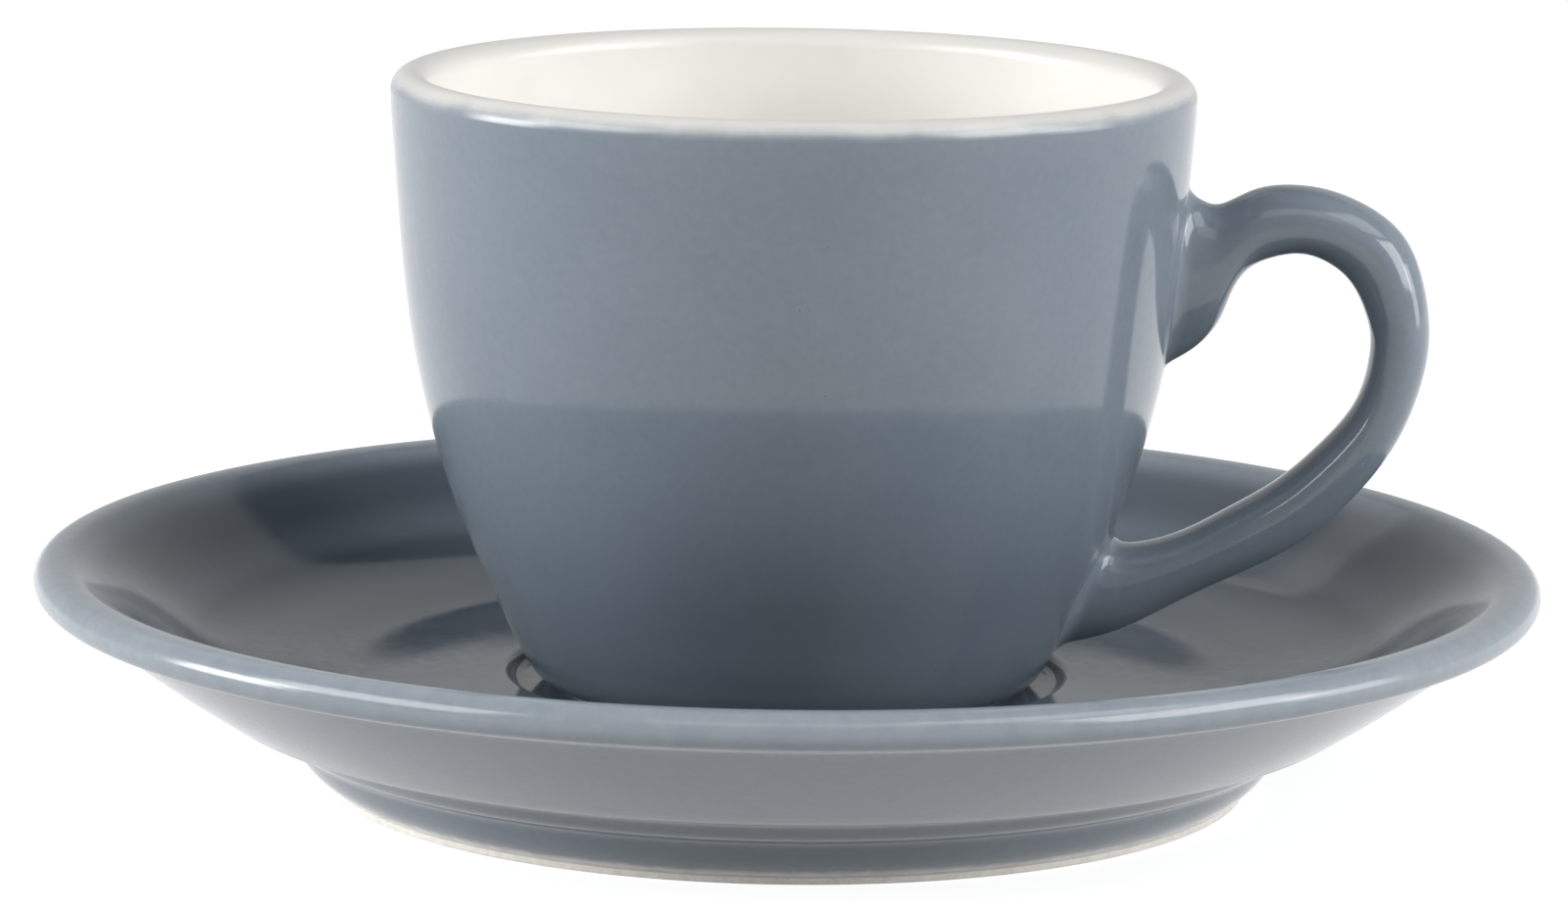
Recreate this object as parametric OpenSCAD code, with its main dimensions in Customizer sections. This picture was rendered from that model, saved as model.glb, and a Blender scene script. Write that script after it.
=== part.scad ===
/* [Cup] */
// Diameter over the cup's rim
rim_d = 79.6; // [74:0.2:88]
// Height of the cup alone, foot to lip
cup_h = 61.5; // [56:0.5:70]
// Diameter of the cup's foot
cup_foot_d = 46; // [42:0.5:50]
// Height of the straight foot below the cup's round wall
cup_foot_h = 0.5; // [0.4:0.05:0.9]
// Width of the ring that the cup stands on, glaze counted
cup_foot_w = 3.6; // [2.6:0.1:4.5]
// How far the cup's underside is hollowed above its foot
cup_recess = 1.6; // [1:0.1:2]
// Thickness of the cup's wall at the lip, glaze counted
cup_wall = 3.8; // [3:0.1:4.8]
// Thickness of the cup's floor, glaze counted
cup_floor = 4.2; // [3:0.1:5.5]

/* [Handle] */
// How far the handle reaches from the cup's centre
handle_reach = 63.2; // [60:0.2:68]
// Height of the handle's top above the cup's foot
handle_top = 51.5; // [47:0.5:53]
// Height of the handle's lowest point above the cup's foot
handle_low = 4.9; // [4:0.1:7]
// Breadth of the handle, across its loop
handle_w = 9.2; // [7:0.2:11]

/* [Saucer] */
// Diameter over the saucer's lip
saucer_d = 150; // [146:1:165]
// Height of the saucer
saucer_h = 22.6; // [21:0.2:26]
// Radius of the saucer's rolled lip
lip_r = 1.85; // [1.6:0.05:2.2]
// Width of the level top that runs in from the rolled lip
lip_flat = 0.6; // [0.2:0.1:1.2]
// Radius with which the lip's top turns down into the saucer
lip_edge_r = 4; // [3:0.25:5]
// How far the crease under the lip lies in from the lip's edge
crease_in = 3.7; // [3:0.1:4.4]
// How far the crease under the lip lies below the lip's top
crease_drop = 4.1; // [3.8:0.1:4.6]
// Diameter of the saucer's foot where it stands
saucer_foot_d = 93; // [86:0.5:96]
// Width of the ring that the saucer stands on, glaze counted
saucer_foot_w = 4.2; // [3:0.1:5]
// Height of the saucer's foot, up to the groove above it
saucer_foot_h = 4.8; // [4.2:0.1:5.4]
// How far the foot leans out from the table to its top
foot_lean = 3.2; // [2:0.1:4]
// Width of the groove round the top of the foot
groove_w = 7; // [6:0.2:8]
// Height of the groove's outer edge above its inner one
groove_rise = 3.4; // [2.8:0.1:4]
// Height of the underside inside the foot
saucer_recess = 4.2; // [3:0.1:5]
// Thickness of the saucer's floor in the well, glaze counted
saucer_floor = 5.4; // [4.4:0.1:6.5]
// Thickness of the saucer's sloping wall, glaze counted
saucer_wall = 3.7; // [3.2:0.1:4.2]
// Diameter of the well that locates the cup
well_d = 55; // [53:0.5:58]
// Depth of the well
well_depth = 1.3; // [1:0.1:1.8]

/* [Glaze] */
// Thickness of the fired glaze
glaze_t = 0.35; // [0.25:0.05:0.4]
// Height of bare clay left above the saucer's foot
bare_foot = 0.9; // [0.6:0.1:1.2]
// Height of bare clay left above the cup's foot
cup_bare_foot = 0.3; // [0.15:0.05:0.35]

/* [Hidden] */

clay_colour = "#e9e2d3";
blue_glaze = "#75818c";
white_glaze = "#eeece6";

// Facets of a turn, degrees from point to point on an outline's round
// stretches, and steps from point to point on its curves
turn_sides = 144;
arc_step = 15;
curve_steps = 3;
// Sides of the handle's section, and rings from each of its points to the next
handle_sides = 20;
handle_steps = 3;
// How square the handle's oval section is: 2 is an ellipse
handle_square = 2.3;
// How far the handle's ends run on into the cup's wall
handle_sunk = 1.5;
// How much broader the handle grows towards its roots
root_flare_share = 0.14;
// Breadth and height of the sloped corner inside each foot
foot_slope = 0.6;

// Outside of the cup's wall, from its foot to its lip: radius and height
cup_wall_shares = [
    [0, 0], [0.077, 0.004], [0.131, 0.015], [0.179, 0.032], [0.235, 0.061],
    [0.304, 0.1], [0.375, 0.146], [0.54, 0.252], [0.74, 0.419],
    [0.865, 0.577], [0.94, 0.754], [0.985, 0.921], [1, 1],
];
// Inside of the bowl, from the edge of its flat floor to its lip
cup_bowl_shares = [
    [0.32, 0], [0.56, 0.035], [0.68, 0.1], [0.78, 0.2],
    [0.875, 0.36], [0.94, 0.54], [0.975, 0.75], [0.995, 0.92], [1, 1],
];
// Where the foot's side bulges a little, from its bare ring to its top
foot_bulge_shares = [0.6, 0.45];
// Saucer's groove, from the top of the foot to the start of the wall
groove_shares = [[0, 0], [0.2, 0.2], [0.46, 0.7], [0.75, 0.93], [1, 1]];
// Saucer's wall from the groove to the crease: along it, and bulge
// as a share of the wall's thickness
under_shares = [[0, 0], [0.3, 0.05], [0.65, 0.05], [1, 0]];
// Saucer's inner floor, from the well's edge to the foot's outer edge
floor_shares = [0.12, 0.4, 0.72];
// Where the inner floor ends, and how much it has risen there
floor_rise_shares = [1, 0.12];
// Where along the wall its inner side starts and ends
wall_inner_shares = [0.3, 0.85];
// Shoulder and hollow of the well's edge, of the well's depth
shoulder_share = 0.6;

// Handle, from its upper root to its lower one: a point on the outer line
// of the loop and one on the inner line. Each is a share of the way from
// the cup's wall to the reach, and of the way from lowest to top.
handle_shares = [
    [[0.03, 0.970], [0.04, 0.625]],
    [[0.10, 0.955], [0.11, 0.655]],
    [[0.17, 0.964], [0.17, 0.700]],
    [[0.28, 0.991], [0.21, 0.765]],
    [[0.44, 1.000], [0.27, 0.822]],
    [[0.60, 0.987], [0.38, 0.850]],
    [[0.77, 0.948], [0.51, 0.854]],
    [[0.90, 0.886], [0.66, 0.810]],
    [[0.97, 0.800], [0.74, 0.740]],
    [[1.00, 0.700], [0.77, 0.680]],
    [[0.98, 0.595], [0.76, 0.600]],
    [[0.90, 0.465], [0.71, 0.520]],
    [[0.77, 0.345], [0.61, 0.442]],
    [[0.63, 0.250], [0.48, 0.362]],
    [[0.49, 0.185], [0.34, 0.300]],
    [[0.35, 0.130], [0.21, 0.247]],
    [[0.24, 0.078], [0.10, 0.222]],
    [[0.13, 0.028], [0.035, 0.222]],
    [[0.01, 0.000], [0.00, 0.235]],
];

// Point a share t of the way from a to b
function mix(a, b, t) = a + (b - a) * t;

// Point t of the way along a smooth curve from b to c, between a and d
function curve_point(a, b, c, d, t) =
    b + t * (c - a) / 2
    + t * t * (a - 2.5 * b + 2 * c - d / 2)
    + t * t * t * (1.5 * (b - c) + (d - a) / 2);

// Smooth curve through a list of points, or of pairs of points
function curve(p, steps) = let (last = len(p) - 1) concat(
    [for (i = [0 : last - 1], s = [0 : steps - 1])
        curve_point(
            i == 0 ? 2 * p[0] - p[1] : p[i - 1],
            p[i],
            p[i + 1],
            i == last - 1 ? 2 * p[last] - p[last - 1] : p[i + 2],
            s / steps
        )],
    [p[last]]);

// Round stretch of an outline, turning from one angle to another
function arc(centre, r, from, to) = [
    for (a = [from : to > from ? arc_step : -arc_step : to])
        centre + r * [cos(a), sin(a)]
];

function unit(v) = v / norm(v);
function left_of(v) = [-v[1], v[0]];

// Outline moved sideways by d, to the left as it runs
function moved_left(p, d) = [
    for (i = [0 : len(p) - 1])
        let (
            ahead = i < len(p) - 1 ? unit(p[i + 1] - p[i]) : unit(p[i] - p[i - 1]),
            behind = i > 0 ? unit(p[i] - p[i - 1]) : ahead
        )
        p[i] + d * left_of(ahead + behind) / (1 + ahead * behind)
];

function stretch(p, from, to) = [for (i = [from : to]) p[i]];
function after_first(p) = stretch(p, 1, len(p) - 1);
function reversed(p) = [for (i = [len(p) - 1 : -1 : 0]) p[i]];

// Every outline below runs with the clay on its left, as glazed
module turned(outline) {
    rotate_extrude($fn = turn_sides)
        polygon(outline);
}

// Coat between two outlines of the same points
module coat(outer, inner) {
    turned(concat(outer, reversed(inner)));
}

// Saucer
saucer_r = saucer_d / 2;
saucer_foot_r = saucer_foot_d / 2;
saucer_foot_inner_r = saucer_foot_r - saucer_foot_w;
well_r = well_d / 2;
well_z = saucer_recess + saucer_floor;
saucer_floor_z = well_z + well_depth;

lip_centre = [saucer_r - lip_r, saucer_h - lip_r];
crease = [saucer_r - crease_in, saucer_h - crease_drop];
foot_top = [saucer_foot_r + foot_lean, saucer_foot_h];
wall_start = foot_top + [groove_w, groove_rise];
wall_run = crease - wall_start;

saucer_foot_outline = [
    [saucer_foot_r, 0],
    [saucer_foot_r, bare_foot],
    [mix(saucer_foot_r, foot_top[0], foot_bulge_shares[0]),
        mix(bare_foot, foot_top[1], foot_bulge_shares[1])],
];
saucer_groove = curve(
    [for (s = groove_shares) foot_top + [s[0] * groove_w, s[1] * groove_rise]],
    curve_steps);
saucer_wall_under = curve(
    [for (s = under_shares)
        wall_start + s[0] * wall_run
        - s[1] * saucer_wall * left_of(unit(wall_run))],
    curve_steps);
lip_edge_centre = [lip_centre[0] - lip_flat, saucer_h - lip_edge_r];
saucer_lip = concat(
    arc(lip_centre, lip_r, -60, 90),
    arc(lip_edge_centre, lip_edge_r, 90, 120));
saucer_top = curve(
    concat(
        [saucer_lip[len(saucer_lip) - 1]],
        [for (s = reversed(wall_inner_shares))
            wall_start + s * wall_run + saucer_wall * left_of(unit(wall_run))],
        [[
            mix(well_r, foot_top[0], floor_rise_shares[0]),
            mix(saucer_floor_z, crease[1], floor_rise_shares[1]),
        ]],
        [for (s = reversed(floor_shares))
            [mix(well_r, foot_top[0], s), saucer_floor_z]]
    ),
    curve_steps);
shoulder_r = shoulder_share * well_depth;
hollow_r = well_depth - shoulder_r;
well_edge = concat(
    arc([well_r + shoulder_r, saucer_floor_z - shoulder_r], shoulder_r, 90, 180),
    after_first(arc([well_r - hollow_r, well_z + hollow_r], hollow_r, 0, -90)));

saucer_outline = concat(
    saucer_foot_outline, saucer_groove, after_first(saucer_wall_under),
    saucer_lip, after_first(saucer_top), well_edge, [[0, well_z]]);
saucer_clay_outline = moved_left(saucer_outline, glaze_t);

saucer_recess_outline = [
    [0, saucer_recess],
    [saucer_foot_inner_r - foot_slope, saucer_recess],
    [saucer_foot_inner_r, saucer_recess - foot_slope],
    [saucer_foot_inner_r, bare_foot],
    [saucer_foot_inner_r, 0],
];
saucer_clay_recess = moved_left(saucer_recess_outline, glaze_t);

module saucer_body() {
    color(clay_colour)
        turned(concat(saucer_clay_outline, saucer_clay_recess));
}

// The glaze stops above the table, outside and inside the foot
module saucer_glaze() {
    top_last = len(saucer_outline) - 1;
    recess_last = len(saucer_recess_outline) - 2;
    color(blue_glaze) {
        coat(
            stretch(saucer_outline, 1, top_last),
            stretch(saucer_clay_outline, 1, top_last));
        coat(
            stretch(saucer_recess_outline, 0, recess_last),
            stretch(saucer_clay_recess, 0, recess_last));
    }
}

// Cup, standing in the saucer's well
rim_r = rim_d / 2;
cup_foot_r = cup_foot_d / 2;
cup_foot_inner_r = cup_foot_r - cup_foot_w;
cup_lip_r = cup_wall / 2;
cup_lip_z = well_z + cup_h - cup_lip_r;
bowl_floor_z = well_z + cup_recess + cup_floor;

cup_outside = concat(
    [[cup_foot_r, well_z], [cup_foot_r, well_z + cup_bare_foot]],
    curve(
        [for (s = cup_wall_shares) [
            mix(cup_foot_r, rim_r, s[0]),
            mix(well_z + cup_foot_h, cup_lip_z, s[1]),
        ]],
        curve_steps));
cup_lip = arc([rim_r - cup_lip_r, cup_lip_z], cup_lip_r, 0, 180);
cup_inside = concat(
    [[0, bowl_floor_z]],
    curve(
        [for (s = cup_bowl_shares) [
            s[0] * (rim_r - cup_wall),
            mix(bowl_floor_z, cup_lip_z, s[1]),
        ]],
        curve_steps));

cup_outline = concat(
    cup_outside, after_first(cup_lip), after_first(reversed(cup_inside)));
cup_clay_outline = moved_left(cup_outline, glaze_t);
// The blue coat ends where the lip starts, and the white lining takes over
lip_start = len(cup_outside) - 1;

cup_recess_outline = [
    [0, well_z + cup_recess],
    [cup_foot_inner_r - foot_slope, well_z + cup_recess],
    [cup_foot_inner_r, well_z + cup_recess - foot_slope],
    [cup_foot_inner_r, well_z + cup_bare_foot],
    [cup_foot_inner_r, well_z],
];
cup_clay_recess = moved_left(cup_recess_outline, glaze_t);

// The cup filled in to its axis, up to its lip
module filled(outline) {
    last = outline[lip_start];
    turned(concat(stretch(outline, 0, lip_start), [[0, last[1]], [0, outline[0][1]]]));
}

module cup_body() {
    color(clay_colour)
        turned(concat(cup_clay_outline, cup_clay_recess));
}

module cup_lining_glaze() {
    last = len(cup_outline) - 1;
    color(white_glaze)
        coat(
            stretch(cup_outline, lip_start, last),
            stretch(cup_clay_outline, lip_start, last));
}

// The handle's clay passes through this coat to the cup's clay
module cup_outer_glaze() {
    recess_last = len(cup_recess_outline) - 2;
    color(blue_glaze) {
        difference() {
            coat(
                stretch(cup_outline, 1, lip_start),
                stretch(cup_clay_outline, 1, lip_start));
            handle_loop(glaze_t);
        }
        coat(
            stretch(cup_recess_outline, 0, recess_last),
            stretch(cup_clay_recess, 0, recess_last));
    }
}

// Handle
wall_radii = [for (p = cup_outside) [p[1], p[0]]];
function wall_r(z) = lookup(z, wall_radii);

function handle_point(share) =
    let (z = well_z + mix(handle_low, handle_top, share[1]))
    [mix(wall_r(z), handle_reach, share[0]), z];
// A point moved into the cup's wall
function sunk_point(p) = [wall_r(p[1]) - handle_sunk, p[1]];

handle_pairs = [for (s = handle_shares) [handle_point(s[0]), handle_point(s[1])]];
handle_path = concat(
    [[for (p = handle_pairs[0]) sunk_point(p)]],
    curve(handle_pairs, handle_steps),
    [[for (p = handle_pairs[len(handle_pairs) - 1]) sunk_point(p)]]);

// Cosine or sine of a squarish oval
function squarish(x) = sign(x) * pow(abs(x), 2 / handle_square);

// One ring round the handle, drawn in by the inset
function handle_ring(pair, half_w, inset) =
    let (
        middle = (pair[0] + pair[1]) / 2,
        arm = (pair[0] - pair[1]) / 2,
        arm_in = arm * (1 - inset / norm(arm))
    )
    [for (j = [0 : handle_sides - 1])
        let (
            a = 360 * j / handle_sides,
            p = middle + arm_in * squarish(cos(a))
        )
        [p[0], (half_w - inset) * squarish(sin(a)), p[1]]];

function flare(share) = 1 + root_flare_share * pow(abs(2 * share - 1), 8);

// The whole loop as one closed tube of rings
module handle_loop(inset) {
    last = len(handle_path) - 1;
    points = [for (i = [0 : last])
        each handle_ring(handle_path[i], handle_w / 2 * flare(i / last), inset)];
    sides = [for (i = [0 : last - 1], j = [0 : handle_sides - 1])
        let (
            k = (j + 1) % handle_sides,
            near = i * handle_sides,
            far = near + handle_sides
        )
        each [
            [near + j, near + k, far + k],
            [near + j, far + k, far + j],
        ]];
    ends = [
        [for (j = [handle_sides - 1 : -1 : 0]) j],
        [for (j = [0 : handle_sides - 1]) last * handle_sides + j],
    ];
    polyhedron(points, concat(sides, ends));
}

module cup_handle() {
    color(clay_colour)
        difference() {
            handle_loop(glaze_t);
            filled(cup_clay_outline);
        }
}

module handle_glaze() {
    color(blue_glaze)
        difference() {
            handle_loop(0);
            handle_loop(glaze_t);
            filled(cup_outline);
        }
}

saucer_body();
saucer_glaze();
cup_body();
cup_handle();
cup_lining_glaze();
cup_outer_glaze();
handle_glaze();
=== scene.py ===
import math

import bpy
import numpy as np
from mathutils import Matrix, Vector


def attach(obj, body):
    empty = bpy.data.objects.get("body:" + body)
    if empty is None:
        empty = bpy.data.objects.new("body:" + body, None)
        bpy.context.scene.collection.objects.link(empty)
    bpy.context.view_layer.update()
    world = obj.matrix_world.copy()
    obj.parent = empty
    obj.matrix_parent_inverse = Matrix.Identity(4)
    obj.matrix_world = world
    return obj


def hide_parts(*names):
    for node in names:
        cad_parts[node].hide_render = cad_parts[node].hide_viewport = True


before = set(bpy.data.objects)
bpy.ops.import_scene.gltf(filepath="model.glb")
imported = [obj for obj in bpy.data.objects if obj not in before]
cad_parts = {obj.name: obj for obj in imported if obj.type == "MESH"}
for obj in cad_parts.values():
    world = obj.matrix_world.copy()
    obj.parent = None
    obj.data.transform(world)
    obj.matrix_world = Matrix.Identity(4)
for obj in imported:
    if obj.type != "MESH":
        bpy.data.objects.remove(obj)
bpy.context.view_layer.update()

# Lengths below are in millimetres until a mesh, the camera or a lamp is made
MM = 0.001

# Sizes of the cup
RIM_R = 39.8
CUP_H = 61.5
CUP_FOOT_R = 23.0
CUP_FOOT_H = 0.5
CUP_FOOT_W = 3.6
CUP_RECESS = 1.6
CUP_WALL = 3.8
CUP_FLOOR = 4.2

# Sizes of the handle
HANDLE_REACH = 63.2
HANDLE_TOP = 51.5
HANDLE_LOW = 4.9
HANDLE_W = 9.2
HANDLE_SQUARE = 2.3
HANDLE_FLARE = 0.14

# Sizes of the saucer
SAUCER_R = 75.0
SAUCER_H = 22.6
LIP_R = 1.85
LIP_FLAT = 0.6
LIP_EDGE_R = 4.0
CREASE_IN = 3.7
CREASE_DROP = 4.1
SAUCER_FOOT_R = 46.5
SAUCER_FOOT_W = 4.2
SAUCER_FOOT_H = 4.8
FOOT_LEAN = 3.2
GROOVE_W = 7.0
GROOVE_RISE = 3.4
SAUCER_RECESS = 4.2
SAUCER_FLOOR = 5.4
SAUCER_WALL = 3.7
WELL_R = 27.5
WELL_DEPTH = 1.3

# The glaze, and how far its edge stays off the table
GLAZE_T = 0.35
BARE_FOOT = 0.9
CUP_BARE_FOOT = 0.3
FOOT_SLOPE = 0.6

# How finely the turned pieces are made: steps round, degrees of an arc, steps of a
# softened path, and the bend in degrees and the length that one face may have
SIDES = 288
ARC_STEP = 3
SOFT_STEP = 0.05
FACE_BEND = 3.0
FACE_LENGTH = 0.9
SAME_PLACE = 1e-6

# How widely the edges are rounded: glaze on the saucer, glaze on the cup, bare clay
SOFT = 0.32
SOFT_CUP = 0.15
SOFT_CLAY = 0.12
# Thickness of the glaze at its edge above a foot
EDGE_T = 0.04

WELL_Z = SAUCER_RECESS + SAUCER_FLOOR


def unit(v):
    return np.asarray(v, float) / np.linalg.norm(v)


def mix(a, b, t):
    return np.asarray(a, float) + (np.asarray(b, float) - np.asarray(a, float)) * t


def left_of(v):
    return np.array([-v[1], v[0]])


def spline(points, step, start=None, end=None):
    """Smooth curve through points, sampled about every step; start and end fix its directions."""
    p = np.array(points, float)
    h = np.linalg.norm(np.diff(p, axis=0), axis=1)
    last = len(p) - 1
    a, b = np.zeros((last + 1, last + 1)), np.zeros(p.shape)
    for i in range(1, last):
        a[i, i - 1:i + 2] = h[i - 1], 2 * (h[i - 1] + h[i]), h[i]
        b[i] = 6 * ((p[i + 1] - p[i]) / h[i] - (p[i] - p[i - 1]) / h[i - 1])
    a[0, 0] = a[last, last] = 1
    if start is not None:
        a[0, :2] = 2 * h[0], h[0]
        b[0] = 6 * ((p[1] - p[0]) / h[0] - unit(start))
    if end is not None:
        a[last, last - 1:] = h[-1], 2 * h[-1]
        b[last] = 6 * (unit(end) - (p[last] - p[last - 1]) / h[-1])
    m = np.linalg.solve(a, b)
    out = []
    for i in range(last):
        count = max(2, math.ceil(h[i] / step))
        for x in h[i] * np.arange(count) / count:
            y = h[i] - x
            out.append(
                (m[i] * y ** 3 + m[i + 1] * x ** 3) / (6 * h[i])
                + (p[i] / h[i] - m[i] * h[i] / 6) * y
                + (p[i + 1] / h[i] - m[i + 1] * h[i] / 6) * x)
    out.append(p[last])
    return np.array(out)


def arc(centre, r, start, end):
    turn = np.radians(np.linspace(start, end, int(abs(end - start) / ARC_STEP) + 1))
    return np.stack([centre[0] + r * np.cos(turn), centre[1] + r * np.sin(turn)], 1)


def join(*stretches):
    """One path from several, without the points that two of them share."""
    path = np.concatenate([np.atleast_2d(np.array(s, float)) for s in stretches])
    keep = np.ones(len(path), bool)
    keep[1:] = np.linalg.norm(np.diff(path, axis=0), axis=1) > SAME_PLACE
    return path[keep]


def lengths(path):
    """Length along the path from its start to each of its points."""
    return np.concatenate([[0], np.cumsum(np.linalg.norm(np.diff(path, axis=0), axis=1))])


def at_lengths(path, s):
    """The path's points at lengths s from its start."""
    run = lengths(path)
    return np.stack([np.interp(s, run, path[:, k]) for k in range(path.shape[1])], 1)


def soften(path, width):
    """The path with its corners rounded over about that width, its ends kept."""
    run = lengths(path)[-1]
    p = at_lengths(path, np.linspace(0, run, int(run / SOFT_STEP) + 1))
    reach = int(4 * width / SOFT_STEP)
    bell = np.exp(-0.5 * (np.arange(-reach, reach + 1) * SOFT_STEP / width) ** 2)
    padded = np.concatenate([2 * p[0] - p[reach:0:-1], p, 2 * p[-1] - p[-2:-reach - 2:-1]])
    return np.stack([np.convolve(padded[:, k], bell / bell.sum(), "valid") for k in (0, 1)], 1)


def moved_left(path, d):
    """The path moved to its left by d, its corners kept sharp."""
    along = np.diff(path, axis=0)
    along /= np.linalg.norm(along, axis=1)[:, None]
    ahead, behind = np.vstack([along, along[-1]]), np.vstack([along[0], along])
    both = ahead + behind
    side = np.stack([-both[:, 1], both[:, 0]], 1)
    return path + np.asarray(d).reshape(-1, 1) * side / (1 + (ahead * behind).sum(1))[:, None]


def thinned(path):
    """Path with fewer points, closer together where it bends, and the normal on its right."""
    along = np.gradient(path, axis=0)
    angle = np.unwrap(np.arctan2(along[:, 1], along[:, 0]))
    step = np.linalg.norm(np.diff(path, axis=0), axis=1)
    cost = np.concatenate([[0], np.cumsum(
        np.abs(np.diff(angle)) / math.radians(FACE_BEND) + step / FACE_LENGTH)])
    at = np.linspace(0, cost[-1], math.ceil(cost[-1]) + 1)
    points = np.stack([np.interp(at, cost, path[:, k]) for k in (0, 1)], 1)
    way = np.interp(at, cost, angle)
    return points, np.stack([np.sin(way), -np.cos(way)], 1)


def shown(name, data):
    """New object in the scene."""
    new = bpy.data.objects.new(name, data)
    bpy.context.scene.collection.objects.link(new)
    return new


def solid(name, points, faces, normals, marks, material):
    """A closed mesh piece, from points in millimetres, with a value per point for each mark."""
    mesh = bpy.data.meshes.new(name)
    mesh.from_pydata((np.asarray(points) * MM).tolist(), [], faces)
    for mark, values in marks.items():
        layer = mesh.attributes.new(mark, "FLOAT", "POINT")
        layer.data.foreach_set("value", np.asarray(values, np.float32))
    mesh.shade_smooth()
    mesh.normals_split_custom_set_from_vertices(np.asarray(normals).tolist())
    mesh.materials.append(material)
    return shown(name, mesh)


def turned(name, paths, marks, material, ring=False):
    """Solid of revolution of one or more paths joined end to end, the solid on their left.
    The path starts and ends on the axis, or comes round to its start if it is a ring."""
    outline, sides = [], []
    for path in paths:
        p, n = thinned(path)
        cut = 1 if outline and np.linalg.norm(p[0] - outline[-1][-1]) < SAME_PLACE else 0
        outline.append(p[cut:])
        sides.append(n[cut:])
    outline, sides = np.concatenate(outline), np.concatenate(sides)
    turn = 2 * math.pi * np.arange(SIDES) / SIDES
    points, normals, values, rows = [], [], {m: [] for m in marks}, []
    for p, n in zip(outline, sides):
        if p[0] < SAME_PLACE:
            rows.append([len(points)] * SIDES)
            points.append((0, 0, p[1]))
            normals.append((0, 0, math.copysign(1, n[1])))
            count = 1
        else:
            rows.append(list(range(len(points), len(points) + SIDES)))
            points += np.stack(
                [p[0] * np.cos(turn), p[0] * np.sin(turn), np.full(SIDES, p[1])], 1).tolist()
            normals += np.stack(
                [n[0] * np.cos(turn), n[0] * np.sin(turn), np.full(SIDES, n[1])], 1).tolist()
            count = SIDES
        for mark, value in marks.items():
            values[mark] += [value(p)] * count
    if ring:
        rows.append(rows[0])
    faces = []
    for near, far in zip(rows, rows[1:]):
        for j in range(SIDES):
            k = (j + 1) % SIDES
            face = [near[j], near[k], far[k], far[j]]
            faces.append([v for i, v in enumerate(face) if v != face[i - 1]])
    return solid(name, points, faces, normals, values, material)


def near_any(spots):
    """Mark that is strongest at spots, each a point, a width and a strength, and fades round them."""
    return lambda p: max(
        [s * math.exp(-((p[0] - c[0]) ** 2 + (p[1] - c[1]) ** 2) / (2 * w * w)) for c, w, s in spots])


def fading(first, last, axis=1):
    """Mark that is 1 at the first radius or height and 0 at the last."""
    def value(p):
        t = min(1, max(0, (p[axis] - last) / (first - last)))
        return t * t * (3 - 2 * t)
    return value


# Outline of the saucer, from its foot round its lip to its centre, clay on the left
foot_top = np.array([SAUCER_FOOT_R + FOOT_LEAN, SAUCER_FOOT_H])
wall_start = foot_top + [GROOVE_W, GROOVE_RISE]
crease = np.array([SAUCER_R - CREASE_IN, SAUCER_H - CREASE_DROP])
wall_run = crease - wall_start
wall_left = left_of(unit(wall_run))
saucer_top_z = WELL_Z + WELL_DEPTH
shoulder, hollow = 0.6 * WELL_DEPTH, 0.4 * WELL_DEPTH
foot_bulge = [mix(SAUCER_FOOT_R, foot_top[0], 0.6), mix(BARE_FOOT, foot_top[1], 0.45)]
groove = spline(
    [foot_top + [s * GROOVE_W, t * GROOVE_RISE]
        for s, t in ((0, 0), (0.2, 0.2), (0.46, 0.7), (0.75, 0.93), (1, 1))], 0.1)
wall_under = spline(
    [wall_start + s * wall_run - t * SAUCER_WALL * wall_left
        for s, t in ((0, 0), (0.3, 0.05), (0.65, 0.05), (1, 0))], 0.2)
saucer_lip = join(
    arc([SAUCER_R - LIP_R, SAUCER_H - LIP_R], LIP_R, -60, 90),
    arc([SAUCER_R - LIP_R - LIP_FLAT, SAUCER_H - LIP_EDGE_R], LIP_EDGE_R, 90, 120))
saucer_inside = spline(
    [saucer_lip[-1]]
    + [wall_start + s * wall_run + SAUCER_WALL * wall_left for s in (0.85, 0.3)]
    + [[foot_top[0], mix(saucer_top_z, crease[1], 0.12)]]
    + [[mix(WELL_R, foot_top[0], s), saucer_top_z] for s in (0.72, 0.4, 0.12)],
    0.2, start=saucer_lip[-1] - saucer_lip[-2], end=(-1, 0))
well_edge = join(
    arc([WELL_R + shoulder, saucer_top_z - shoulder], shoulder, 90, 180),
    arc([WELL_R - hollow, WELL_Z + hollow], hollow, 0, -90))
foot_side = spline([[SAUCER_FOOT_R, BARE_FOOT], foot_bulge, foot_top], 0.1)
saucer_path = join(
    foot_side, groove, wall_under, saucer_lip, saucer_inside, well_edge, [[0, WELL_Z]])
saucer_clay_path = moved_left(saucer_path, GLAZE_T)
saucer_foot_in = SAUCER_FOOT_R - SAUCER_FOOT_W


def recess_path(foot_in, ceiling, edge):
    """Inside of a foot: out along the recess and down to where the glaze ends."""
    return join([
        [0, ceiling], [foot_in - FOOT_SLOPE, ceiling], [foot_in, ceiling - FOOT_SLOPE], [foot_in, edge]])


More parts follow.
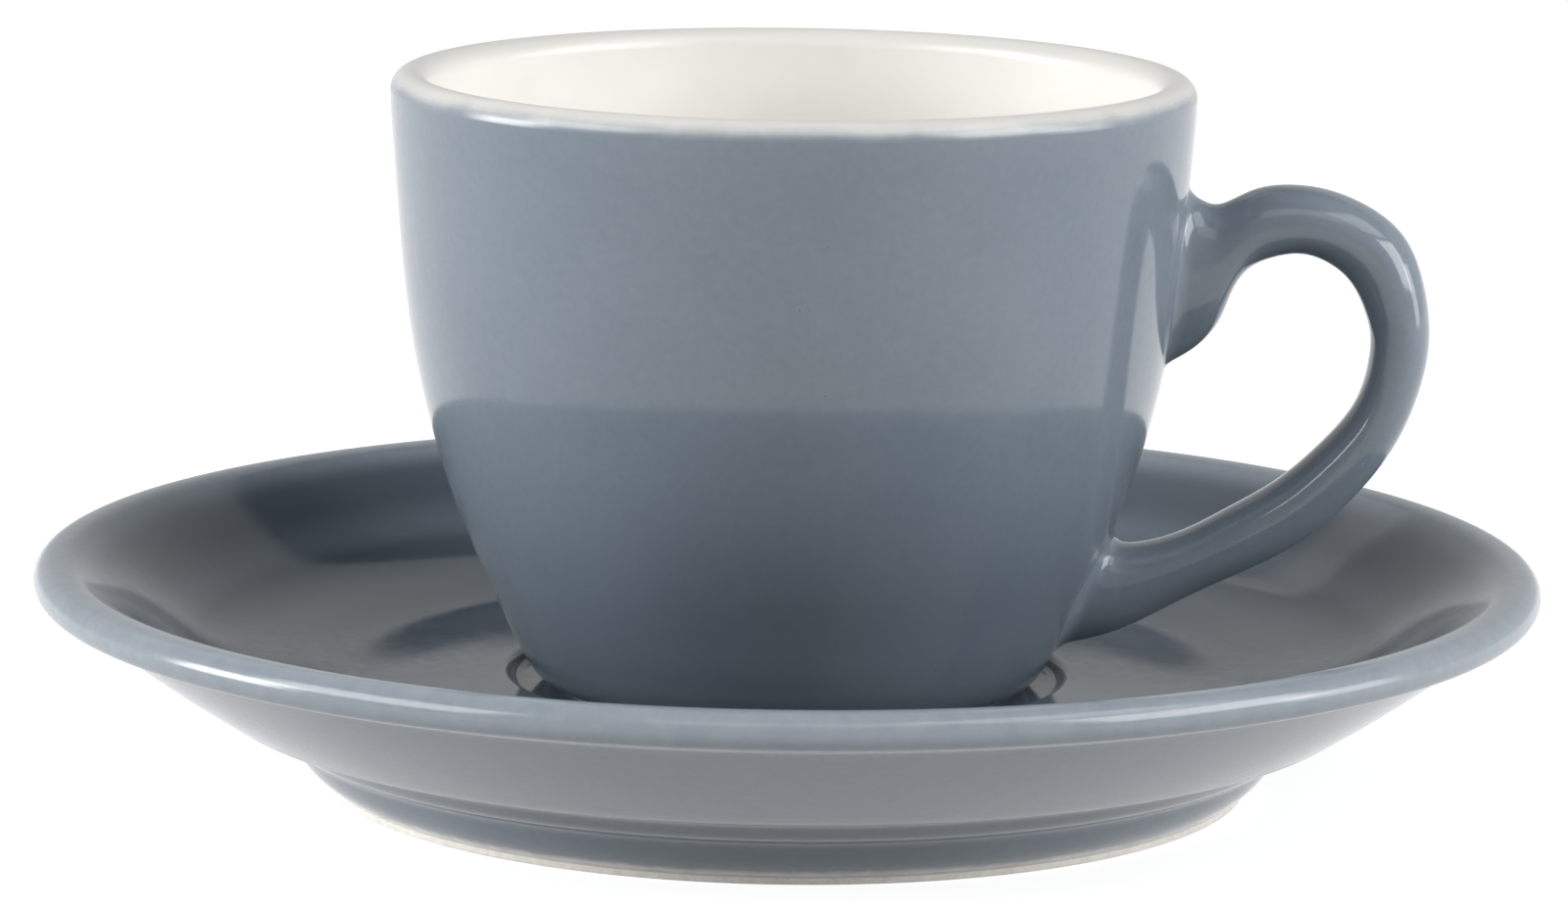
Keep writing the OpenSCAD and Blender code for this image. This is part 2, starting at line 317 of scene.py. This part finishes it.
# Outline of the cup, from its foot round its lip to its centre
cup_z = WELL_Z
lip_z = cup_z + CUP_H - CUP_WALL / 2
bowl_z = cup_z + CUP_RECESS + CUP_FLOOR
CUP_WALL_SHARES = (
    (0, 0), (0.077, 0.004), (0.131, 0.015), (0.179, 0.032), (0.235, 0.061),
    (0.304, 0.1), (0.375, 0.146), (0.54, 0.252), (0.74, 0.419),
    (0.865, 0.577), (0.94, 0.754), (0.985, 0.921), (1, 1))
CUP_BOWL_SHARES = (
    (1, 1), (0.995, 0.92), (0.975, 0.75), (0.94, 0.54), (0.875, 0.36),
    (0.78, 0.2), (0.68, 0.1), (0.56, 0.035), (0.32, 0))
cup_outside = spline(
    [[mix(CUP_FOOT_R, RIM_R, s), mix(cup_z + CUP_FOOT_H, lip_z, t)] for s, t in CUP_WALL_SHARES],
    0.15, end=(0, 1))
cup_inside = spline(
    [[s * (RIM_R - CUP_WALL), mix(bowl_z, lip_z, t)] for s, t in CUP_BOWL_SHARES],
    0.2, start=(0, -1), end=(-1, 0))
cup_lip = arc([RIM_R - CUP_WALL / 2, lip_z], CUP_WALL / 2, 0, 180)
cup_path = join([[CUP_FOOT_R, cup_z + CUP_BARE_FOOT]], cup_outside, cup_lip, cup_inside, [[0, bowl_z]])
cup_clay_path = moved_left(cup_path, GLAZE_T)
cup_foot_in = CUP_FOOT_R - CUP_FOOT_W
wall_heights, wall_radii = cup_outside[:, 1], cup_outside[:, 0]


def wall_r(z):
    """Radius of the cup's outside at a height."""
    return np.interp(z, wall_heights, wall_radii)


# Materials
def colour(*rgb):
    """Linear colour from the 0 to 255 steps that a picture shows."""
    return tuple(
        (c / 255 / 12.92 if c <= 10 else ((c / 255 + 0.055) / 1.055) ** 2.4) for c in rgb) + (1,)


def grey(tone):
    return (tone, tone, tone, 1)


class Nodes:
    """A node tree being built: add() makes a node and links or sets its inputs."""

    def __init__(self, tree):
        self.tree = tree
        self.tree.nodes.clear()

    def add(self, kind, inputs, **settings):
        node = self.tree.nodes.new(kind)
        for key, value in settings.items():
            setattr(node, key, value)
        pairs = inputs.items() if isinstance(inputs, dict) else enumerate(inputs)
        for key, value in pairs:
            self.put(node.inputs[key], value)
        return node.outputs[0] if len(node.outputs) else None

    def put(self, socket, value):
        if isinstance(value, bpy.types.NodeSocket):
            self.tree.links.new(value, socket)
        elif isinstance(value, tuple) and isinstance(value[0], str):
            source = self.tree.nodes.new("ShaderNode" + value[0])
            self.tree.links.new(source.outputs[value[1]], socket)
        else:
            socket.default_value = value

    def maths(self, operation, *values):
        return self.add("ShaderNodeMath", values, operation=operation)

    def blend(self, share, first, second):
        node = self.tree.nodes.new("ShaderNodeMix")
        node.data_type = "RGBA"
        for socket, value in ((node.inputs[0], share), (node.inputs[6], first), (node.inputs[7], second)):
            self.put(socket, value)
        return node.outputs[2]


class Finish(Nodes):
    """A material being built, with its textures in millimetres."""

    def __init__(self, name):
        self.material = bpy.data.materials.new(name)
        self.material.use_nodes = True
        super().__init__(self.material.node_tree)
        self.place = self.add(
            "ShaderNodeVectorMath", [("TexCoord", "Object"), (1 / MM, 1 / MM, 1 / MM)],
            operation="MULTIPLY")

    def ramp(self, value, low, high, to_low=0.0, to_high=1.0):
        return self.add(
            "ShaderNodeMapRange", [value, low, high, to_low, to_high],
            interpolation_type="SMOOTHSTEP")

    def noise(self, scale, detail=3.0, roughness=0.5):
        return self.add("ShaderNodeTexNoise", {
            "Vector": self.place, "Scale": scale, "Detail": detail, "Roughness": roughness})

    def mark(self, name):
        node = self.tree.nodes.new("ShaderNodeAttribute")
        node.attribute_name = name
        return node.outputs["Fac"]

    def specks(self, scale, size, keep):
        """1 inside small round specks, one in each kept cell, of differing size."""
        cell = self.tree.nodes.new("ShaderNodeTexVoronoi")
        self.put(cell.inputs["Vector"], self.place)
        cell.inputs["Scale"].default_value = scale
        chance = self.add("ShaderNodeSeparateColor", [cell.outputs["Color"]])
        reach = self.ramp(chance, 1 - keep, 1, 0, size * scale)
        return self.ramp(self.maths("SUBTRACT", reach, cell.outputs["Distance"]), 0, 0.35 * size * scale)

    def bump(self, height, distance, normal=None):
        node = self.tree.nodes.new("ShaderNodeBump")
        node.inputs["Strength"].default_value = 1.0
        node.inputs["Distance"].default_value = distance
        self.put(node.inputs["Height"], height)
        if normal is not None:
            self.put(node.inputs["Normal"], normal)
        return node.outputs["Normal"]

    def finish(self, base, roughness, normal, ior):
        shader = self.add("ShaderNodeBsdfPrincipled", {
            "Base Color": base, "Roughness": roughness, "Normal": normal, "IOR": ior})
        self.add("ShaderNodeOutputMaterial", {"Surface": shader})
        return self.material


BLUE = colour(126, 136, 146)
BLUE_DEEP = colour(116, 127, 138)
BLUE_PALE = colour(174, 181, 186)
# Painted shade: the blue darkened on the cup's lower outside and inside the saucer
BLUE_PAINTED_SHADE = colour(85, 95, 105)
BLUE_SPECK = colour(88, 95, 104)
PALE_SPECK = colour(205, 208, 208)
WHITE = colour(238, 236, 232)
WHITE_WARM = colour(230, 227, 222)
WHITE_THIN = colour(212, 211, 207)
WHITE_SPECK = colour(180, 178, 170)
CLAY = colour(247, 244, 238)
CLAY_DARK = colour(233, 229, 221)
CLAY_SPECK = colour(168, 160, 148)
GLAZE_IOR = 1.5
CLAY_IOR = 1.45


def lip_share(f):
    """How white the glaze is at the cup's lip, with an uneven edge."""
    uneven = f.ramp(f.noise(0.17, 4.0, 0.55), 0.25, 0.75, -0.08, 0.08)
    return f.ramp(f.maths("ADD", f.mark("lip"), uneven), 0.05, 0.95)


def glaze_blue():
    """Blue-grey glaze: cloudy and grained, with specks, thin on edges, white at the cup's lip, and
    darkened as painted shade where marked.
    """
    f = Finish("blue_grey_glaze")
    cloud = f.ramp(f.noise(0.045, 3.0), 0.3, 0.7, 0, 0.6)
    grain = f.ramp(f.noise(1.1, 4.0, 0.6), 0.3, 0.72, 0, 0.4)
    tone = f.blend(f.maths("ADD", cloud, grain), BLUE_DEEP, BLUE)
    tone = f.blend(f.specks(0.42, 0.13, 0.35), tone, BLUE_SPECK)
    tone = f.blend(f.specks(0.12, 0.10, 0.5), tone, PALE_SPECK)
    # Painted shade: darker blue on the cup's lower outside and inside the saucer
    tone = f.blend(f.mark("painted_shade"), tone, BLUE_PAINTED_SHADE)
    thin = f.maths("MULTIPLY", f.mark("ridge"), f.ramp(f.noise(0.5, 3.0), 0.3, 0.7, 0.75, 1))
    tone = f.blend(thin, tone, BLUE_PALE)
    edge = f.maths("ADD", f.mark("bare"), f.ramp(f.noise(0.35, 3.0, 0.5), 0.25, 0.75, -0.12, 0.12))
    tone = f.blend(f.ramp(edge, 0.1, 0.95), tone, CLAY)
    tone = f.blend(lip_share(f), tone, WHITE_THIN)
    wave = f.bump(f.noise(0.12, 2.0), 0.006 * MM)
    normal = f.bump(f.noise(0.9, 3.0), 0.001 * MM, wave)
    edges = f.maths("MAXIMUM", f.mark("ridge"), f.mark("lip"))
    rough = f.maths("ADD", f.ramp(f.noise(0.7, 3.0), 0.3, 0.7, 0.08, 0.13), f.ramp(edges, 0, 1, 0, 0.2))
    return f.finish(tone, rough, normal, GLAZE_IOR)


def glaze_white():
    """Warm white glaze with a few specks, thinner and greyer over the lip."""
    f = Finish("white_glaze")
    tone = f.blend(f.ramp(f.noise(0.05, 3.0), 0.3, 0.7), WHITE, WHITE_WARM)
    tone = f.blend(f.specks(0.15, 0.1, 0.3), tone, WHITE_SPECK)
    tone = f.blend(f.mark("ridge"), tone, WHITE_THIN)
    white = lip_share(f)
    tone = f.blend(white, BLUE, tone)
    normal = f.bump(f.noise(0.2, 3.0), 0.01 * MM)
    return f.finish(tone, f.ramp(white, 0, 1, 0.225, 0.3), normal, GLAZE_IOR)


def clay_bare():
    """Fired clay without glaze: matt, with a fine grain."""
    f = Finish("bare_clay")
    tone = f.blend(f.ramp(f.noise(1.2, 5.0, 0.7), 0.3, 0.7), CLAY_DARK, CLAY)
    tone = f.blend(f.specks(1.3, 0.12, 0.25), tone, CLAY_SPECK)
    normal = f.bump(f.noise(4.0, 4.0, 0.7), 0.03 * MM)
    return f.finish(tone, f.ramp(f.noise(2.0), 0.3, 0.7, 0.75, 0.92), normal, CLAY_IOR)


blue, white, clay = glaze_blue(), glaze_white(), clay_bare()

# Marks that the glazes read: where blue gives way to white at the cup's lip (lip), where
# glaze thins out to bare clay above a foot (bare), where it is pale on an edge (ridge),
# and where the blue is darkened as painted shade, on the cup's lower outside and inside the saucer
# Painted shade: how dark it makes the cup's lower outside, and where it comes in inside the saucer
CUP_PAINTED_SHADE = 0.75
PAINTED_SHADE_START, PAINTED_SHADE_RUN = 0.9, 0.1
cup_shade_fade = fading(cup_z + 2, cup_z + 34)
lip_mark = fading(lip_z + 2.2, lip_z - 0.4)
saucer_edges = near_any([
    (wall_start, 0.35, 0.55), (wall_start + 0.6 * unit(wall_run), 0.7, 0.5),
    (foot_top, 0.35, 0.4), (crease, 0.6, 0.2),
    ((SAUCER_R - LIP_R, SAUCER_H - LIP_R), 1.7, 0.68),
    ((WELL_R + 0.3, saucer_top_z - 0.1), 0.4, 0.25)])


def none(p):
    return 0.0


def saucer_shade_mark(p):
    """Mark for the inside of the saucer, where the blue is darkened as painted shade."""
    t = min(1, max(0, (np.dot(p - wall_start, wall_left) / SAUCER_WALL - PAINTED_SHADE_START) / PAINTED_SHADE_RUN))
    return t * t * (3 - 2 * t)


def cup_shade_mark(p):
    """Mark for the lower part of the cup's outside, darkened as painted shade towards the bottom."""
    return CUP_PAINTED_SHADE * cup_shade_fade(p)


def lining_lip(p):
    return 1.0 if p[0] < RIM_R - CUP_WALL / 2 else lip_mark(p)


# Saucer
saucer_skin = soften(join([[SAUCER_FOOT_R - GLAZE_T + EDGE_T, BARE_FOOT - 0.25]], saucer_path), SOFT)
saucer_back = soften(saucer_clay_path, SOFT)[::-1]
saucer_coat = turned(
    "saucer_coat", [saucer_back, saucer_skin],
    {"bare": fading(BARE_FOOT - 0.3, BARE_FOOT + 1.2), "ridge": saucer_edges, "lip": none,
        "painted_shade": saucer_shade_mark}, blue)
saucer_recess = recess_path(saucer_foot_in, SAUCER_RECESS, BARE_FOOT)
saucer_recess_back = moved_left(saucer_recess, GLAZE_T)
saucer_recess_coat = turned(
    "saucer_recess_coat", [soften(saucer_recess, SOFT), soften(saucer_recess_back, SOFT)[::-1]],
    {"bare": fading(BARE_FOOT, BARE_FOOT + 0.9), "ridge": none, "lip": none, "painted_shade": none}, blue)
saucer_clay = turned("saucer_clay", [soften(join(
    saucer_recess_back,
    [[saucer_foot_in + GLAZE_T, 0], [SAUCER_FOOT_R - GLAZE_T, 0]],
    saucer_clay_path), SOFT_CLAY)], {}, clay)

# Cup: one softened outline, cut into the blue coat and the white lining
cup_skin = soften(join([[CUP_FOOT_R - GLAZE_T + EDGE_T, cup_z + CUP_BARE_FOOT - 0.1]], cup_path), SOFT_CUP)
cup_back = soften(cup_clay_path, SOFT_CUP)
seam = np.argmax(cup_skin[:, 1] > lip_z)
back_seam = np.argmax(cup_back[:, 1] > lip_z)
cup_coat = turned(
    "cup_coat", [cup_skin[:seam + 1], cup_back[back_seam::-1]],
    {"bare": fading(cup_z + 0.1, cup_z + CUP_BARE_FOOT + 0.3), "ridge": none, "lip": lip_mark,
        "painted_shade": cup_shade_mark}, blue, ring=True)
cup_lining = turned(
    "cup_lining", [cup_back[:back_seam - 1:-1], cup_skin[seam:]],
    {"lip": lining_lip, "ridge": fading(lip_z + 1.4, lip_z - 0.4)}, white)
cup_recess = recess_path(cup_foot_in, cup_z + CUP_RECESS, cup_z + CUP_BARE_FOOT)
cup_recess_back = moved_left(cup_recess, GLAZE_T)
cup_recess_coat = turned(
    "cup_recess_coat", [soften(cup_recess, SOFT), soften(cup_recess_back, SOFT)[::-1]],
    {"bare": fading(cup_z + CUP_BARE_FOOT, cup_z + CUP_BARE_FOOT + 0.5), "ridge": none, "lip": none,
        "painted_shade": none}, blue)
cup_clay = turned("cup_clay", [soften(join(
    cup_recess_back,
    [[cup_foot_in + GLAZE_T, cup_z], [CUP_FOOT_R - GLAZE_T, cup_z]],
    cup_clay_path), SOFT_CLAY)], {}, clay)

# Handle: pairs of points on the outer and inner line of the loop, each a share
# of the way from the cup's wall to the reach and from its lowest point to its top
HANDLE_SHARES = (
    ((0.03, 0.970), (0.04, 0.625)), ((0.10, 0.955), (0.11, 0.655)),
    ((0.17, 0.964), (0.17, 0.700)), ((0.28, 0.991), (0.21, 0.765)),
    ((0.44, 1.000), (0.27, 0.822)), ((0.60, 0.987), (0.38, 0.850)),
    ((0.77, 0.948), (0.51, 0.854)), ((0.90, 0.886), (0.66, 0.810)),
    ((0.97, 0.800), (0.74, 0.740)), ((1.00, 0.700), (0.77, 0.680)),
    ((0.98, 0.595), (0.76, 0.600)), ((0.90, 0.465), (0.71, 0.520)),
    ((0.77, 0.345), (0.61, 0.442)), ((0.63, 0.250), (0.48, 0.362)),
    ((0.49, 0.185), (0.34, 0.300)), ((0.35, 0.130), (0.21, 0.247)),
    ((0.24, 0.078), (0.10, 0.222)), ((0.13, 0.028), (0.035, 0.222)),
    ((0.01, 0.000), (0.00, 0.235)))
HANDLE_SUNK = 3.0
HANDLE_SIDES = 72
HANDLE_STEP = 0.35
HANDLE_FLARE_POWER = 8
# Rounded joint of handle and wall: how far it runs up the handle and out on the wall
FILLET_ARM = 1.6
FILLET_FOOT = 1.3
FILLET_PULL = 0.6
FILLET_STEPS = 9
FOOT_SUNK = 0.02
END_SUNK = 0.8


def handle_point(share):
    """Radius and height of a point of the loop from its two shares."""
    z = cup_z + mix(HANDLE_LOW, HANDLE_TOP, share[1])
    return [float(mix(wall_r(z), HANDLE_REACH, share[0])), float(z)]


def squarish(x):
    """Cosine or sine of a circle, turned into that of a rounded square."""
    return np.sign(x) * np.abs(x) ** (2 / HANDLE_SQUARE)


def handle_lines():
    """Lines along the loop, one for each side, from one sunk end to the other: [side][point][xyz]."""
    path = spline([handle_point(a) + handle_point(b) for a, b in HANDLE_SHARES], 0.3)
    sunk = [
        [wall_r(p[1]) - HANDLE_SUNK, p[1], wall_r(p[3]) - HANDLE_SUNK, p[3]] for p in path[[0, -1]]]
    path = np.vstack([sunk[0], path, sunk[1]])
    run = lengths(path)[-1]
    path = at_lengths(path, np.linspace(0, run, int(run / HANDLE_STEP) + 1))
    share = np.linspace(0, 1, len(path))
    half_w = HANDLE_W / 2 * (1 + HANDLE_FLARE * np.abs(2 * share - 1) ** HANDLE_FLARE_POWER)
    turn = 2 * math.pi * np.arange(HANDLE_SIDES) / HANDLE_SIDES
    c, s = squarish(np.cos(turn))[:, None], squarish(np.sin(turn))[:, None]
    middle, arm = (path[:, :2] + path[:, 2:]) / 2, (path[:, :2] - path[:, 2:]) / 2
    return np.stack([middle[:, 0] + arm[:, 0] * c, half_w * s, middle[:, 1] + arm[:, 1] * c], 2)


def on_wall(p):
    """The point just under the cup's wall at p's height and angle."""
    return np.array([*(p[:2] * (wall_r(p[2]) - FOOT_SUNK) / np.hypot(*p[:2])), p[2]])


def wall_normal(p):
    """Direction straight out of the cup's wall at p's height and angle."""
    slope = (wall_r(p[2] + 0.2) - wall_r(p[2] - 0.2)) / 0.4
    return unit([*unit(p[:2]), -slope])


def out_of_wall(line):
    """Length along the line at which it comes out of the cup's wall."""
    gap = np.hypot(line[:, 0], line[:, 1]) - wall_r(line[:, 2])
    i = int(np.argmax(gap > 0))
    return np.interp(0, gap[i - 1:i + 1], lengths(line)[i - 1:i + 1])


def fillet(lines):
    """Rings that round the joint of the lines with the cup's wall, from inside the wall outwards,
    and the length along each line at which the line itself goes on."""
    starts = np.array([out_of_wall(line) for line in lines])
    met = np.array([at_lengths(line, [s])[0] for line, s in zip(lines, starts)])
    rings = []
    for j, line in enumerate(lines):
        out = unit(np.cross(met[(j + 1) % len(met)] - met[j - 1], wall_normal(met[j])))
        out *= np.sign(np.dot(out, met[j] - met.mean(0)))
        foot = on_wall(met[j] + FILLET_FOOT * out)
        normal = wall_normal(foot)
        out = unit(out - normal * np.dot(out, normal))
        arm, beyond = at_lengths(line, [starts[j] + FILLET_ARM, starts[j] + FILLET_ARM + 0.1])
        corners = (
            foot, foot - FILLET_PULL * FILLET_FOOT * out,
            arm - FILLET_PULL * FILLET_ARM * unit(beyond - arm), arm)
        t = np.linspace(0, 1, FILLET_STEPS + 1)[:, None]
        weights = ((1 - t) ** 3, 3 * t * (1 - t) ** 2, 3 * t * t * (1 - t), t ** 3)
        rings.append(np.vstack(
            [foot - END_SUNK * normal, sum(w * corner for w, corner in zip(weights, corners))]))
    return np.stack(rings, 1), starts + FILLET_ARM


def handle_rings():
    """Rings of the whole handle, with its joints to the wall at both ends: [ring][side][xyz]."""
    lines = handle_lines()
    first, first_s = fillet(lines)
    last, last_s = fillet(lines[:, ::-1])
    loop = []
    for line, start, end in zip(lines, first_s, last_s):
        run = lengths(line)[-1]
        count = int(lengths(lines[0])[-1] / HANDLE_STEP)
        loop.append(at_lengths(line, np.linspace(start, run - end, count))[1:-1])
    return np.concatenate([first, np.stack(loop, 1), last[::-1]])


def tube(name, rings, marks, material):
    """Closed tube through rings of equally many points; its first and last ring are sunk."""
    count, sides = rings.shape[:2]
    normals = np.cross(
        np.roll(rings, -1, 1) - np.roll(rings, 1, 1), np.gradient(rings, axis=0))[1:-1]
    normals /= np.linalg.norm(normals, axis=2)[..., None]
    normals = np.concatenate([normals[:1], normals, normals[-1:]])
    inward = ((rings - rings.mean(1, keepdims=True)) * normals).sum() < 0
    faces = [
        [i * sides + j, i * sides + (j + 1) % sides,
            (i + 1) * sides + (j + 1) % sides, (i + 1) * sides + j]
        for i in range(count - 1) for j in range(sides)]
    faces += [list(range(sides))[::-1], list(range((count - 1) * sides, count * sides))]
    if inward:
        normals, faces = -normals, [face[::-1] for face in faces]
    values = {mark: [value] * (count * sides) for mark, value in marks.items()}
    return solid(name, rings.reshape(-1, 3), faces, normals.reshape(-1, 3), values, material)


handle = tube("handle", handle_rings(), {"bare": 0.0, "ridge": 0.0, "lip": 0.0, "painted_shade": 0.0}, blue)

for piece, body, nodes, slot in (
    (saucer_clay, "saucer", ["saucer_body"], "bare_clay"),
    (saucer_coat, "saucer", ["saucer_glaze"], "blue_grey_glaze"),
    (saucer_recess_coat, "saucer", ["saucer_glaze"], "blue_grey_glaze"),
    (cup_clay, "cup", ["cup_body"], "bare_clay"),
    (cup_coat, "cup", ["cup_outer_glaze"], "blue_grey_glaze"),
    (cup_recess_coat, "cup", ["cup_outer_glaze"], "blue_grey_glaze"),
    (cup_lining, "cup", ["cup_lining_glaze"], "white_glaze"),
    (handle, "cup", ["handle_glaze", "cup_handle"], "blue_grey_glaze"),
):
    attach(piece, body)
    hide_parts(*nodes)

# Camera
DISTANCE, ELEVATION = 648.5, 9.626
YAW, PITCH, ROLL = 0.0449, 0.6519, 0.7752
FOCAL_PX, PHOTO_W = 6645.7, 1600
HANDLE_TURN = 5.575
SENSOR_W = 36
AIM_Z = 40
NEAREST = 0.05


def turned_about(v, axis, degrees):
    return Matrix.Rotation(math.radians(degrees), 3, axis) @ Vector(v)


def direction(azimuth, elevation):
    """Unit vector towards a place seen from the object: azimuth 0 is the camera's side, 90 its right."""
    a, e = math.radians(azimuth), math.radians(elevation)
    v = (math.sin(a) * math.cos(e), -math.cos(a) * math.cos(e), math.sin(e))
    return turned_about(v, "Z", HANDLE_TURN)


camera = shown("camera", bpy.data.cameras.new("camera"))
bpy.context.scene.camera = camera
camera.data.sensor_fit = "HORIZONTAL"
camera.data.sensor_width = SENSOR_W
camera.data.lens = FOCAL_PX / PHOTO_W * SENSOR_W
camera.data.clip_start = NEAREST
dip = math.radians(ELEVATION + PITCH)
ahead = turned_about((0, math.cos(dip), -math.sin(dip)), "Z", YAW + HANDLE_TURN)
right = ahead.cross(Vector((0, 0, 1))).normalized()
up = right.cross(ahead)
c, s = math.cos(math.radians(ROLL)), math.sin(math.radians(ROLL))
right, up = right * c + up * s, up * c - right * s
camera.matrix_world = Matrix.Translation(
    (direction(0, ELEVATION) * DISTANCE + Vector((0, 0, AIM_Z))) * MM
) @ Matrix((right, up, -ahead)).transposed().to_4x4()

# Floor: pale, and white to the camera and in reflections, with the object's shadow kept
FLOOR_R, FLOOR_SIDES = 12.0, 96
FLOOR_TONE, FLOOR_SHADE, FLOOR_GLOW = 0.44, 0.3, 0.85
floor_mesh = bpy.data.meshes.new("floor")
floor_turn = [2 * math.pi * j / FLOOR_SIDES for j in range(FLOOR_SIDES)]
floor_mesh.from_pydata(
    [(FLOOR_R * math.cos(t), FLOOR_R * math.sin(t), 0) for t in floor_turn],
    [], [list(range(FLOOR_SIDES))])
shown("floor", floor_mesh)

floor_mat = bpy.data.materials.new("floor")
floor_mat.use_nodes = True
f = Nodes(floor_mat.node_tree)
seen = f.maths("MAXIMUM", ("LightPath", "Is Camera Ray"), ("LightPath", "Is Glossy Ray"))
seen = f.maths("MAXIMUM", seen, ("LightPath", "Is Transmission Ray"))
plain = f.add("ShaderNodeBsdfDiffuse", {"Color": grey(FLOOR_TONE)})
bright = f.add("ShaderNodeAddShader", [
    f.add("ShaderNodeBsdfDiffuse", {"Color": grey(FLOOR_SHADE)}),
    f.add("ShaderNodeEmission", {"Strength": FLOOR_GLOW})])
f.add("ShaderNodeOutputMaterial", {"Surface": f.add("ShaderNodeMixShader", [seen, plain, bright])})
floor_mat.cycles.emission_sampling = "NONE"
floor_mesh.materials.append(floor_mat)

# Surroundings: a plain room, pale up to a height and dark overhead, with less light on the object.
# Each tone starts at a height, from 0 level with the object to 1 straight above it.
ROOM_TONES = ((0.0, 0.65), (0.3, 0.46), (0.592, 0.38), (0.615, 0.01))
ROOM_FILL = 0.12
world = bpy.data.worlds.new("room")
bpy.context.scene.world = world
world.use_nodes = True
w = Nodes(world.node_tree)
height = w.add("ShaderNodeSeparateXYZ", [("TexCoord", "Generated")]).node.outputs["Z"]
room = w.add("ShaderNodeValToRGB", [height])
stops = room.node.color_ramp.elements
while len(stops) < len(ROOM_TONES):
    stops.new(1.0)
for stop, (place, tone) in zip(stops, ROOM_TONES):
    stop.position, stop.color = place, grey(tone)
room_light = w.blend(("LightPath", "Is Diffuse Ray"), room, grey(ROOM_FILL))
w.add("ShaderNodeOutputWorld", {"Surface": w.add("ShaderNodeBackground", {"Color": room_light})})

# Lamps: azimuth, elevation, width, height and radiance, which is 1 where a lamp would look white
LAMP_DISTANCE, LAMP_AIM_Z = 1.3, 0.04
for name, azimuth, elevation, width, height, radiance in (
    ("left_front", -66, 26, 0.9, 0.64, 5.7),
    ("left_low", -88, 8, 0.5, 0.5, 13.5),
    ("right_front", 66, 24, 0.9, 0.72, 6.0),
    ("right_low", 88, 8, 0.5, 0.5, 4.2),
    ("right_high", 60, 55, 0.9, 0.5, 2.6),
    ("front_top", 0, 50, 0.9, 0.5, 1.2),
    ("back_left", -150, 45, 0.9, 0.7, 0.35),
):
    light = bpy.data.lights.new(name, "AREA")
    light.shape = "RECTANGLE"
    light.size, light.size_y = width, height
    light.energy = radiance * math.pi * width * height
    lamp = shown(name, light)
    way = direction(azimuth, elevation)
    lamp.location = way * LAMP_DISTANCE + Vector((0, 0, LAMP_AIM_Z))
    lamp.rotation_mode = "QUATERNION"
    lamp.rotation_quaternion = way.to_track_quat("Z", "Y")
    lamp.visible_camera = False

bpy.context.scene.view_settings.view_transform = "Standard"
